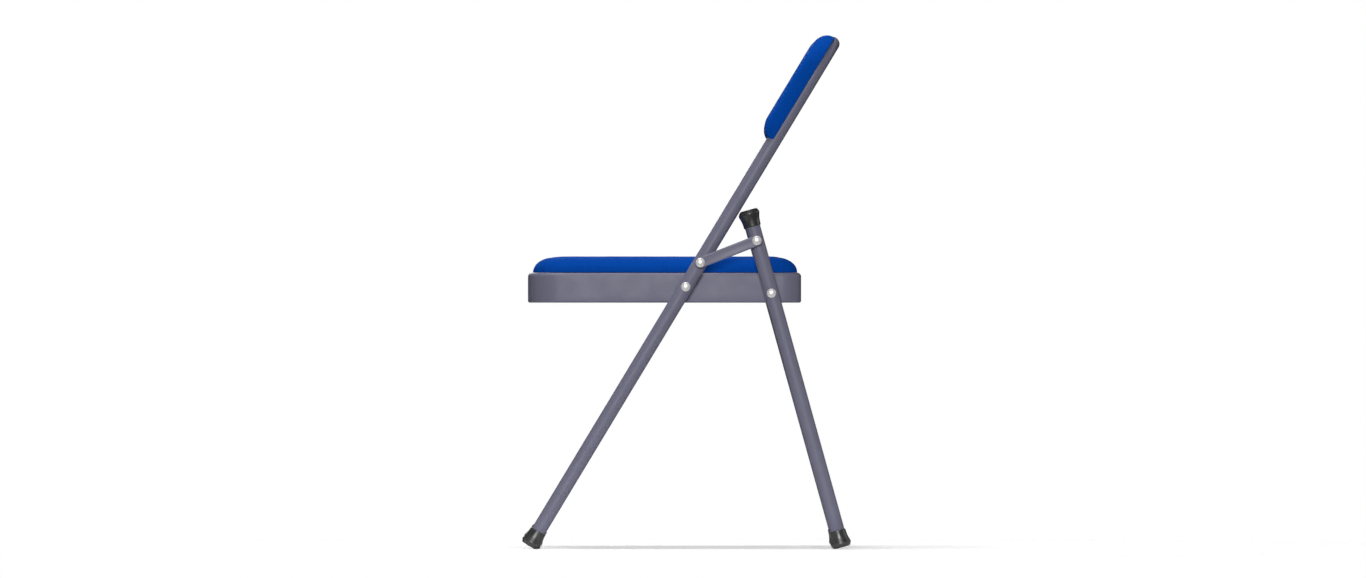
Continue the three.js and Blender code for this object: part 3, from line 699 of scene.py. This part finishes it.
def add_brace(node, body, matrix, seed):
    """A round bar between two tubes, and its two welds."""
    low, high = within(node, matrix)
    radius = (high.z - low.z) / 2
    z = (high.z + low.z) / 2
    reach = TUBE_X - math.sqrt(TUBE_RADIUS ** 2 - radius ** 2) - BRACE_GAP
    start, end = (radius, -reach), (radius, reach)
    profile = [(0, -reach), start, *between(start, end, 10), end, (0, reach)]
    turn = shift(0, 0, z) @ turn_about("Y", 90)
    brace = placed(f"{node}_tube", moved(turned(profile, 36), turn), matrix, PAINT, body, 60)
    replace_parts(brace, node)
    for i, (side, direction) in enumerate(SIDES.items()):
        bead = weld_bead(radius, z, direction, seed + i)
        placed(f"{node}_weld_{side}", bead, matrix, PAINT, body, ALL_SMOOTH)


# -------- rubber caps


def smooth_profile(knots):
    """A Catmull-Rom curve through (radius, height) knots."""
    steps = 6
    points = []
    padded = [knots[0], *knots, knots[-1]]
    for a, b, c, d in zip(padded, padded[1:], padded[2:], padded[3:]):
        for i in range(steps):
            t = i / steps
            points.append(tuple(
                0.5 * (2 * q + (r - p) * t + (2 * p - 5 * q + 4 * r - s) * t * t
                       + (3 * q - p - 3 * r + s) * t ** 3)
                for p, q, r, s in zip(a, b, c, d)))
    points.append(knots[-1])
    return points


def cap_shape():
    """A flared cap, end face down on z = 0, with a moulded ring in its end face and a rolled lip."""
    inner, outer, deep = CAP_RING
    bank, part_deep = 0.5, deep * 0.6
    face = [
        (0, 0), (inner - bank, 0), (inner, part_deep), (inner + bank, deep),
        (outer - bank, deep), (outer, part_deep), (outer + bank, 0)]
    lip = [(CAP_MOUTH - inward, CAP_LENGTH - down) for inward, down in CAP_LIP]
    bore = TUBE_RADIUS + CAP_LOOSE
    inside = [(bore, CAP_LENGTH - 0.1), (bore, CAP_FLOOR), (0, CAP_FLOOR)]
    return turned(face + smooth_profile(CAP_SIDE) + lip + inside, 56)


def flattened_on_floor(obj):
    """Nothing of a foot goes below the floor: it stands on the flat that its worn edge makes."""
    world = obj.matrix_world
    back = world.inverted()
    for vertex in obj.data.vertices:
        point = world @ vertex.co
        if point.z < 0:
            point.z = 0
            vertex.co = back @ point


def add_cap(node, body, matrix, upside_down=False):
    """A foot, or the cap on a leg's top, which is the same piece upside down."""
    low, high = within(node, matrix)
    # the floor cuts a foot's edge, so its end face is found from its mouth
    end = high.z if upside_down else high.z - CAP_LENGTH
    place = shift((low.x + high.x) / 2, 0, end)
    if upside_down:
        place = place @ turn_about("X", 180)
    cap = placed(f"{node}_rubber", moved(cap_shape(), place), matrix, RUBBER, body, 50)
    if not upside_down:
        flattened_on_floor(cap)
    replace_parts(cap, node)


# -------- fasteners


def from_middle(node):
    """How far from the chair's middle a node starts and ends, in millimetres."""
    return sorted(abs(corner.x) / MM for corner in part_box(node))


def pointing_out(shape, node):
    """A shape drawn up z from the chair's middle, turned to lie outwards along x where the node is."""
    middle = centre(node) / MM
    turn = turn_about("Y", math.copysign(90, middle.x))
    return moved(shape, shift(0, middle.y, middle.z) @ turn)


def dome(radius, height, base, steps=10, rim=0.5):
    """A domed head's outline, from its lower rim to its top on the axis."""
    outline = [(radius - HEAD_EDGE, base), (radius, base + HEAD_EDGE), (radius, base + rim)]
    for i in range(1, steps):
        t = math.radians(90) * i / steps
        outline.append((radius * math.cos(t), base + rim + (height - rim) * math.sin(t)))
    return outline + [(0, base + height)]


def add_rivet(node, body, short=False):
    """A rivet whose head and tail are where the CAD rivet has them. A short one has no tail."""
    inner, outer = from_middle(node)
    if short:
        start = [(0, inner), (RIVET_SHANK, inner)]
    else:
        shank_from = inner + RIVET_TAIL_HEIGHT
        tail = reversed(dome(RIVET_TAIL, RIVET_TAIL_HEIGHT, 0))
        start = [(radius, shank_from - height) for radius, height in tail] + [(RIVET_SHANK, shank_from)]
    head_from = outer - RIVET_HEAD_HEIGHT
    profile = [*start, (RIVET_SHANK, head_from), *dome(RIVET_HEAD, RIVET_HEAD_HEIGHT, head_from)]
    shape = pointing_out(turned(profile, 48), node)
    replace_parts(placed(f"{node}_bright", shape, CHAIR, RIVET, body, 40), node)


def add_ring(node, body):
    """A spacer or washer round a rivet, with bevelled rims."""
    start, end = from_middle(node)
    rim = WASHER_RADIUS - WASHER_EDGE
    profile = [
        (RIVET_HOLE, start), (rim, start), (WASHER_RADIUS, start + WASHER_EDGE),
        (WASHER_RADIUS, end - WASHER_EDGE), (rim, end), (RIVET_HOLE, end)]
    shape = pointing_out(turned(profile, 40), node)
    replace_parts(placed(f"{node}_ring", shape, CHAIR, NYLON, body, 30), node)


def screw_shape(length):
    """A pan-head screw that points up z: its head hangs below z = 0."""
    head = reversed(dome(SCREW_HEAD, SCREW_HEAD_HEIGHT, 0.0, 8, SCREW_HEAD_RIM))
    profile = [(radius, -height) for radius, height in head] + [(SCREW_SHANK, 0)]
    crest, root = THREAD_PITCH / 4, THREAD_PITCH * 3 / 4
    for i in range(int(length / THREAD_PITCH)):
        start = THREAD_PITCH * i
        profile += [(SCREW_SHANK, start + crest), (SCREW_SHANK - THREAD_DEPTH, start + root)]
    return turned(profile + [(SCREW_SHANK - POINT_DRAWN_IN, length), (0, length)], 32)


def cross_recess():
    """The two crossed slots in a screw's head, as one tapered shape each."""
    signs = ((-1, -1), (1, -1), (1, 1), (-1, 1))
    slot = lofted([
        [(half_long * sx, half_wide * sy, deep - SCREW_HEAD_HEIGHT) for sx, sy in signs]
        for half_long, half_wide, deep in (RECESS_MOUTH, RECESS_BOTTOM)])
    return [moved(slot, turn_about("Z", turn)) for turn in (20, 110)]


def add_screw(node, body, matrix, point_up):
    """A screw driven up z in the given space, or if point_up is false forwards, along -y."""
    low, high = within(node, matrix)
    middle = (low + high) / 2
    if point_up:
        length = high.z - low.z - SCREW_HEAD_HEIGHT
        place = shift(middle.x, middle.y, low.z + SCREW_HEAD_HEIGHT)
    else:
        length = high.y - low.y - SCREW_HEAD_HEIGHT
        place = shift(middle.x, high.y - SCREW_HEAD_HEIGHT, middle.z) @ turn_about("X", 90)
    screw = placed(f"{node}_zinc", screw_shape(length), matrix @ place, ZINC, body, 30)
    carved(screw, cross_recess())
    screw.data.set_sharp_from_angle(angle=math.radians(30))
    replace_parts(screw, node)


# -------- sheet steel


def pan_loops():
    """The seat pan from the edge of its top, down the outside, round the hem and up the inside."""
    low, high = (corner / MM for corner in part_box("seat_pan"))
    edge_z, hem_z = high.z - PAN_EDGE, low.z + PAN_HEM
    profile = [(PAN_EDGE - x, edge_z + z) for x, z in arc(0, 0, PAN_EDGE, 90, 0, 8)]
    profile += between((0, edge_z), (0, hem_z), 4)
    profile += [(PAN_HEM - x, hem_z + z) for x, z in arc(0, 0, PAN_HEM, 0, -90, 6)]
    flange = PAN_FLANGE - 0.5
    profile += [(flange, low.z), (PAN_FLANGE, low.z + PAN_WALL / 2), (flange, low.z + PAN_WALL)]
    profile += [(PAN_HEM - x, hem_z + z) for x, z in arc(0, 0, PAN_HEM - PAN_WALL, -90, 0, 4)]
    profile += [(PAN_WALL, edge_z)]
    profile += [(PAN_EDGE - x, edge_z + z) for x, z in arc(0, 0, PAN_EDGE - PAN_WALL, 0, 90, 6)]
    return [
        [(x, y, z) for x, y in rounded_rectangle(high.x, low.y, high.y, PAN_CORNERS, inset, 16)]
        for inset, z in profile]


def add_pan():
    pan = placed("seat_pan_steel", lofted(pan_loops()), CHAIR, PAINT, "seat", 30)
    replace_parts(pan, "seat_pan")


def panel_loops(low, high):
    """The back panel from the edge of its face, over the rim's edge and back along the inside."""
    edge_y = low.y + PANEL_EDGE
    profile = [(PANEL_EDGE - x, edge_y - y) for x, y in arc(0, 0, PANEL_EDGE, 90, 0, 6)]
    profile += [(inset, high.y - forward) for inset, forward in PANEL_RIM]
    profile += [(PANEL_EDGE - x, edge_y - y) for x, y in arc(0, 0, PANEL_EDGE - PANEL_WALL, 0, 90, 5)]
    return [
        [(x, y, z) for x, z in rounded_rectangle(high.x, low.z, high.z, PANEL_CORNERS, inset, 14)]
        for inset, y in profile]


def tack_weld(x, z, seed):
    """A short bead between the panel's rim and the tube beside it."""
    rng = random.Random(seed)
    speed, depth = TACK_RIPPLE
    count = 16
    profile = []
    for i in range(count + 1):
        t = i / count
        swell = math.sin(math.pi * t) ** 0.5 if 0 < t < 1 else 0
        ripple = 1 + depth * math.sin(t * speed + rng.uniform(0, 1))
        profile.append((TACK_RADIUS * swell * ripple, TACK_LENGTH * (t - 0.5)))
    return moved(turned(profile, BEAD_SIDES), shift(x, TACK_Y, z))


def add_back_panel():
    low, high = within("back_panel", FRAME)
    panel = placed("back_panel_steel", lofted(panel_loops(low, high)), FRAME, PAINT, "front_frame", 30)
    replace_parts(panel, "back_panel")
    x = high.x + TACK_OFF_PANEL
    tacks = [
        tack_weld(direction * x, low.z + share * (high.z - low.z), 40 + i)
        for direction in SIDES.values() for i, share in enumerate(TACKS_AT)]
    placed("back_panel_welds", joined(tacks), FRAME, PAINT, "front_frame", ALL_SMOOTH)


def channel_section(half, bottom, top):
    """The outline of a pressed channel that opens downwards, with round bends."""
    bend_v, bend_z = half - STIFFENER_BEND, top - STIFFENER_BEND
    outer, inner = STIFFENER_BEND, STIFFENER_BEND - STIFFENER_WALL
    inside = half - STIFFENER_WALL
    return [
        (-half, bottom), *arc(-bend_v, bend_z, outer, 180, 90, 5), *arc(bend_v, bend_z, outer, 90, 0, 5),
        (half, bottom), (inside, bottom), *arc(bend_v, bend_z, inner, 0, 90, 5),
        *arc(-bend_v, bend_z, inner, 90, 180, 5), (-inside, bottom)]


def spot_welds(half_long, y, z):
    """The two rows of spots that a stiffener's welds leave on its inside."""
    row = SPOT_ROW_SHARE * half_long
    spots = []
    for i in range(SPOT_WELDS):
        x = -row + 2 * row * i / (SPOT_WELDS - 1)
        for offset in (-SPOT_ROW_Y, SPOT_ROW_Y):
            spots.append(moved(turned(SPOT_WELD, 20), shift(x, y + offset, z)))
    return joined(spots)


def add_stiffener(node):
    """A pressed channel across the pan, and its spot welds."""
    low, high = (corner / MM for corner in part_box(node))
    y = centre(node).y / MM
    section = channel_section(size_mm(node).y / 2, low.z, high.z)
    loops = [[(x, y + v, z) for v, z in section] for x in (-high.x, high.x)]
    channel = placed(f"{node}_steel", lofted(loops), CHAIR, PAINT, "seat", 30)
    bevelled(channel, 0.3, 2)
    spots = spot_welds(high.x, y, high.z - STIFFENER_WALL + SPOT_SINK)
    placed(f"{node}_spot_welds", spots, CHAIR, PAINT, "seat", 30)
    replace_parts(channel, node)


def add_plate(node, body, outline, holes, edge, edge_segments):
    """A flat plate in the y-z plane, as thick as its CAD node, with rivet holes and rounded edges."""
    low, high = (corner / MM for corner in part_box(node))
    start, end = low.x - HOLE_PAST, high.x + HOLE_PAST
    rod = turned([(0, start), (RIVET_HOLE, start), (RIVET_HOLE, end), (0, end)], 32)
    rods = [moved(rod, shift(0, y, z) @ turn_about("Y", 90)) for y, z in holes]
    loops = [[(x, y, z) for y, z in outline] for x in (low.x, high.x)]
    plate = placed(f"{node}_steel", lofted(loops), CHAIR, PAINT, body, 30)
    carved(plate, rods)
    bevelled(plate, edge, edge_segments)
    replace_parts(plate, node)


def add_side_plate(side):
    node = f"seat_side_plate_{side}"
    low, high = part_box(node)
    y = centre(node).y / MM
    half = size_mm(node).y / 2
    outline = rounded_rectangle(half, low.z / MM, high.z / MM, (PLATE_CORNER, PLATE_CORNER), 0, 8)
    holes = [(p.y / MM, p.z / MM) for p in (SEAT_PIVOT, LEG_PIVOT)]
    add_plate(node, "seat", [(y + v, z) for v, z in outline], holes, 0.35, 2)


def add_link(side):
    """A flat bar with round ends, from its rivet on the frame to its rivet on the leg."""
    a = Vector((LINK_ON_FRAME.y, LINK_ON_FRAME.z)) / MM
    b = Vector((LINK_ON_LEG.y, LINK_ON_LEG.z)) / MM
    lean = math.degrees(math.atan2(b.y - a.y, b.x - a.x))
    outline = arc(b.x, b.y, LINK_HALF_WIDTH, lean - 90, lean + 90, 16)
    outline += arc(a.x, a.y, LINK_HALF_WIDTH, lean + 90, lean + 270, 16)
    add_plate(f"link_bar_{side}", "links", outline, (a, b), 0.6, 3)


# -------- cushions


def inflated(obj, pressure):
    """Lets the cover swell under pressure, held at its base. The foam inside keeps a point from sinking in,
    and none moves out further than SWELL."""
    rest = [(v.co.copy(), v.normal.copy()) for v in obj.data.vertices]
    group = obj.vertex_groups.new(name="held")
    group.add([i for i, (point, _) in enumerate(rest) if point.z / MM < GLUED], 1.0, "REPLACE")
    modifier = obj.modifiers.new("cloth", "CLOTH")
    assign(
        modifier.settings, quality=4, mass=0.3, tension_stiffness=12, compression_stiffness=12,
        shear_stiffness=6, bending_stiffness=0.4, use_pressure=True, uniform_pressure_force=pressure,
        vertex_group_mass="held")
    modifier.settings.effector_weights.gravity = 0
    modifier.collision_settings.use_collision = False
    scene = bpy.context.scene
    for step in range(CLOTH_STEPS):
        scene.frame_set(step + 1)
    apply_modifiers(obj)
    scene.frame_set(1)
    obj.vertex_groups.clear()
    for vertex, (start, outward) in zip(obj.data.vertices, rest):
        swell = (vertex.co - start).dot(outward)
        vertex.co = start + outward * min(max(swell, 0), SWELL * MM)


def base_cut_flat(obj):
    """Cuts off what lies below the cushion's base, and closes the cut."""
    work = bmesh.new()
    work.from_mesh(obj.data)
    everything = work.verts[:] + work.edges[:] + work.faces[:]
    cut = bmesh.ops.bisect_plane(
        work, geom=everything, plane_co=(0, 0, 0), plane_no=(0, 0, -1), clear_outer=True)
    rim = [e for e in cut["geom_cut"] if isinstance(e, bmesh.types.BMEdge)]
    bmesh.ops.triangle_fill(work, use_beauty=True, edges=rim)
    bmesh.ops.recalc_face_normals(work, faces=work.faces)
    work.to_mesh(obj.data)
    work.free()


def recess(board, cushion_space, corners):
    """The hollow a board lies in: its own outline, a little larger, and open at the cushion's base."""
    low, high = within(board, cushion_space)
    outline = rounded_rectangle(high.x, low.y, high.y, corners, -BOARD_ROOM, 8)
    return lofted([[(x, y, z) for x, y in outline] for z in (-SKIRT, high.z + BOARD_ROOM)])


def domed_slab(plan, rise, edges):
    """A slab with a rounded upper edge, from below its base to its rise."""
    half_width, low, high, corners = plan
    (side_in, side_up), (end_in, end_up) = edges

    def loop(side, end, height):
        drawn_in = (side + end) / 2
        outline = rounded_rectangle(
            half_width - side, low + end, high - end, [corner - drawn_in for corner in corners],
            SLACK, 14, 40)
        return [(x, y, height) for x, y in outline]

    loops = [loop(0, 0, -SKIRT), loop(0, 0, 0)]
    rows = 12
    for i in range(rows + 1):
        turn = math.radians(90) * i / rows
        height = rise - end_up * (1 - math.sin(turn))
        up_side = max(0.0, (height - rise) / side_up + 1)
        side = side_in * (1 - math.sqrt(max(0.0, 1 - up_side ** 2)))
        loops.append(loop(side, end_in * (1 - math.cos(turn)), height))
    return lofted(loops)


def crowned(cushion, plan, rise, crown):
    """Lowers the cushion towards its sides and its ends. crown: by how much, at each."""
    half_width, low, high, _ = plan
    middle, half_length = (low + high) / 2, (high - low) / 2
    for vertex in cushion.data.vertices:
        x, y, z = vertex.co / MM
        share = max(0.0, z / rise) ** 2
        drop = crown[0] * (x / half_width) ** 2 + crown[1] * ((y - middle) / half_length) ** 4
        vertex.co.z -= share * drop * MM


def corners_of(plan):
    """Each corner's centre, its radius, and the signs of the quarter it faces."""
    half_width, low, high, (low_corner, high_corner) = plan
    found = []
    for sx in (1, -1):
        found.append((sx * (half_width - low_corner), low + low_corner, low_corner, sx, -1))
        found.append((sx * (half_width - high_corner), high - high_corner, high_corner, sx, 1))
    return found


def gather(x, y, corners):
    """The tucks where a cover is drawn round its corners: how deep they are at (x, y), and the way out."""
    for cx, cy, radius, sx, sy in corners:
        dx, dy = (x - cx) * sx, (y - cy) * sy
        if dx > 0 and dy > 0:
            angle = math.atan2(dy, dx)
            out = min(1.0, max(0.0, math.hypot(dx, dy) / radius - 0.5) / 0.4)
            tucks = math.sin(angle * round(radius * TUCKS_PER_MM) + 0.7 * sx)
            return out * math.sin(2 * angle) ** 2 * tucks, Vector((dx * sx, dy * sy)).normalized()
    return 0.0, Vector((0, 0))


def rumpled(cushion, plan, rise):
    """Brings the cushion to its height, with tucks low down at its corners and faint lumps in its top."""
    corners = corners_of(plan)
    highest = max(v.co.z for v in cushion.data.vertices) / MM
    for vertex in cushion.data.vertices:
        x, y, z = vertex.co / MM
        tuck, way = gather(x, y, corners)
        low_down = max(0.0, 1 - max(z, 0) / (0.8 * rise))
        lumps = sum(noise.noise(Vector((x, y, z)) / apart) * height for apart, height in LUMPS)
        share = max(0.0, z / highest)
        x += way.x * tuck * low_down * TUCK
        y += way.y * tuck * low_down * TUCK
        z += share * (rise - TOP_DROP - highest) + share * lumps
        vertex.co = Vector((x, y, z)) * MM


def spread_to(cushion, plan):
    """Swelling and smoothing draw a cover in a little. This lets it out again to the size of its plan."""
    half_width, low, high, _ = plan
    widest = max(abs(v.co.x) for v in cushion.data.vertices) / MM
    nearest = min(v.co.y for v in cushion.data.vertices) / MM
    furthest = max(v.co.y for v in cushion.data.vertices) / MM
    across = half_width / widest
    along = (high - low) / (furthest - nearest)
    for vertex in cushion.data.vertices:
        vertex.co.x *= across
        vertex.co.y = (low + (vertex.co.y / MM - nearest) * along) * MM


def add_cover(node, body, matrix, plan, rise, edges, crown, pressure, hollows):
    """A padded cover in a space whose z is outward from its base, at z = 0, in millimetres. plan: half its
    width, its low and high end, and the radii of its low and high corners."""
    shape = domed_slab(plan, rise - SLACK, edges)
    cushion = placed(f"{node}_cover", shape, matrix, CLOTH, body, ALL_SMOOTH)
    modified(cushion, "REMESH", mode="VOXEL", voxel_size=VOXEL * MM, adaptivity=0)
    crowned(cushion, plan, rise, crown)
    inflated(cushion, pressure)
    modified(cushion, "SMOOTH", factor=0.5, iterations=2)
    modified(cushion, "SUBSURF", levels=1, render_levels=1)
    rumpled(cushion, plan, rise)
    base_cut_flat(cushion)
    spread_to(cushion, plan)
    carved(cushion, hollows)
    shaded(cushion.data, 50)
    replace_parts(cushion, node)


def add_seat_cushion():
    low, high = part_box("seat_cushion")
    place = CHAIR @ shift(0, 0, low.z / MM)
    add_cover(
        "seat_cushion", "seat", place, (high.x / MM, low.y / MM, high.y / MM, SEAT_CORNERS),
        size_mm("seat_cushion").z, SEAT_EDGES, crown=(1.6, 0.3), pressure=4.0,
        hollows=[recess("seat_board", place, SEAT_BOARD_CORNERS)])


def add_back_cushion():
    low, high = within("back_cushion", FRAME)
    # outward from this cushion's base is forward, and along it is up the tube
    place = FRAME @ shift(0, high.y, 0) @ turn_about("X", 90)
    tube = swept(frame_path(low.z - TUBE_PAST), TUBE_RADIUS + TUBE_ROOM)
    channel = moved(tube, place.inverted() @ FRAME)
    add_cover(
        "back_cushion", "front_frame", place,
        (high.x, low.z - BACK_PAST, high.z + BACK_PAST, BACK_CORNERS),
        high.y - low.y, BACK_EDGES, crown=(1.0, 0.3), pressure=3.5,
        hollows=[channel, recess("back_board", place, BACK_BOARD_CORNERS)])


def finish_board(node):
    """A board is the CAD's own piece, with a ply material."""
    materials = frame["nodes"][node].data.materials
    materials.clear()
    materials.append(PLYWOOD)


# -------- the chair

add_front_tube()
add_brace("front_cross_brace", "front_frame", FRAME, 1)
add_brace("rear_cross_brace_upper", "rear_legs", LEGS, 3)
add_brace("rear_cross_brace_lower", "rear_legs", LEGS, 5)
add_pan()
add_back_panel()
add_stiffener("seat_stiffener_front")
add_stiffener("seat_stiffener_rear")
for side, direction in SIDES.items():
    add_rear_leg(side, direction)
    add_cap(f"front_foot_{side}", "front_frame", FRAME)
    add_cap(f"rear_foot_{side}", "rear_legs", LEGS)
    add_cap(f"leg_top_cap_{side}", "rear_legs", LEGS, upside_down=True)
    add_link(side)
    add_side_plate(side)
    add_rivet(f"seat_pivot_rivet_{side}", "front_frame")
    add_rivet(f"leg_pivot_rivet_{side}", "rear_legs")
    add_rivet(f"link_leg_rivet_{side}", "rear_legs")
    add_rivet(f"link_frame_rivet_{side}", "links", short=True)
    add_ring(f"seat_pivot_spacer_{side}", "seat")
    add_ring(f"leg_pivot_spacer_{side}", "seat")
    add_ring(f"link_leg_washer_{side}", "rear_legs")
    add_ring(f"link_frame_washer_{side}", "links")
for i in range(1, 5):
    add_screw(f"seat_screw_{i}", "seat", CHAIR, point_up=True)
    add_screw(f"back_screw_{i}", "front_frame", FRAME, point_up=False)
add_seat_cushion()
add_back_cushion()
finish_board("seat_board")
finish_board("back_board")

# -------- floor and light

FLOOR_DROP = 0.0002  # metres below the feet
SURROUND_LIGHT = 0.03  # the surround's strength as a source of light; where it is seen it is 1


def add_floor():
    mesh = bpy.data.meshes.new("floor")
    ring = hoop(Vector((0, 0, 0)), FLOOR_RADIUS, Vector((1, 0, 0)), Vector((0, 1, 0)), 64)
    mesh.from_pydata(ring, [], [tuple(range(len(ring)))])
    floor = new_object("floor", mesh)
    floor.location.z = -FLOOR_DROP
    mesh.materials.append(pale_floor())


def add_light(name, place, target, size, power):
    data = bpy.data.lights.new(name, "AREA")
    assign(data, shape="DISK", size=size, energy=power)
    light = new_object(name, data)
    light.location = place
    light.rotation_mode = "QUATERNION"
    light.rotation_quaternion = (Vector(target) - Vector(place)).to_track_quat("-Z", "Y")


def add_world():
    """A white surround: plain white where it is seen, and much dimmer as a source of light."""
    world = bpy.data.worlds.new("surround")
    world.use_nodes = True
    tree = world.node_tree
    tree.nodes.clear()
    seen = tree.nodes.new("ShaderNodeLightPath").outputs["Is Camera Ray"]
    mix = tree.nodes.new("ShaderNodeMixShader")
    tree.links.new(seen, mix.inputs[0])
    for socket, strength in zip(mix.inputs[1:], (SURROUND_LIGHT, 1.0)):
        background = tree.nodes.new("ShaderNodeBackground")
        background.inputs["Color"].default_value = WHITE
        background.inputs["Strength"].default_value = strength
        tree.links.new(background.outputs[0], socket)
    out = tree.nodes.new("ShaderNodeOutputWorld")
    tree.links.new(mix.outputs[0], out.inputs[0])
    bpy.context.scene.world = world


add_floor()
add_world()
chair_middle = (0, 0, 0.4)
add_light("key", (4.4, -0.1, 1.3), chair_middle, size=1.2, power=112)
add_light("above", (0.1, -0.3, 3.8), (0, 0, 0), size=2.0, power=88)
add_light("far_side", (-3.8, -0.6, 1.8), chair_middle, size=2.0, power=50)
add_light("behind", (-0.4, 3.8, 1.6), chair_middle, size=2.0, power=16)
add_light("front", (-0.2, -3.8, 1.4), chair_middle, size=2.0, power=8)
bpy.context.scene.view_settings.view_transform = "Standard"
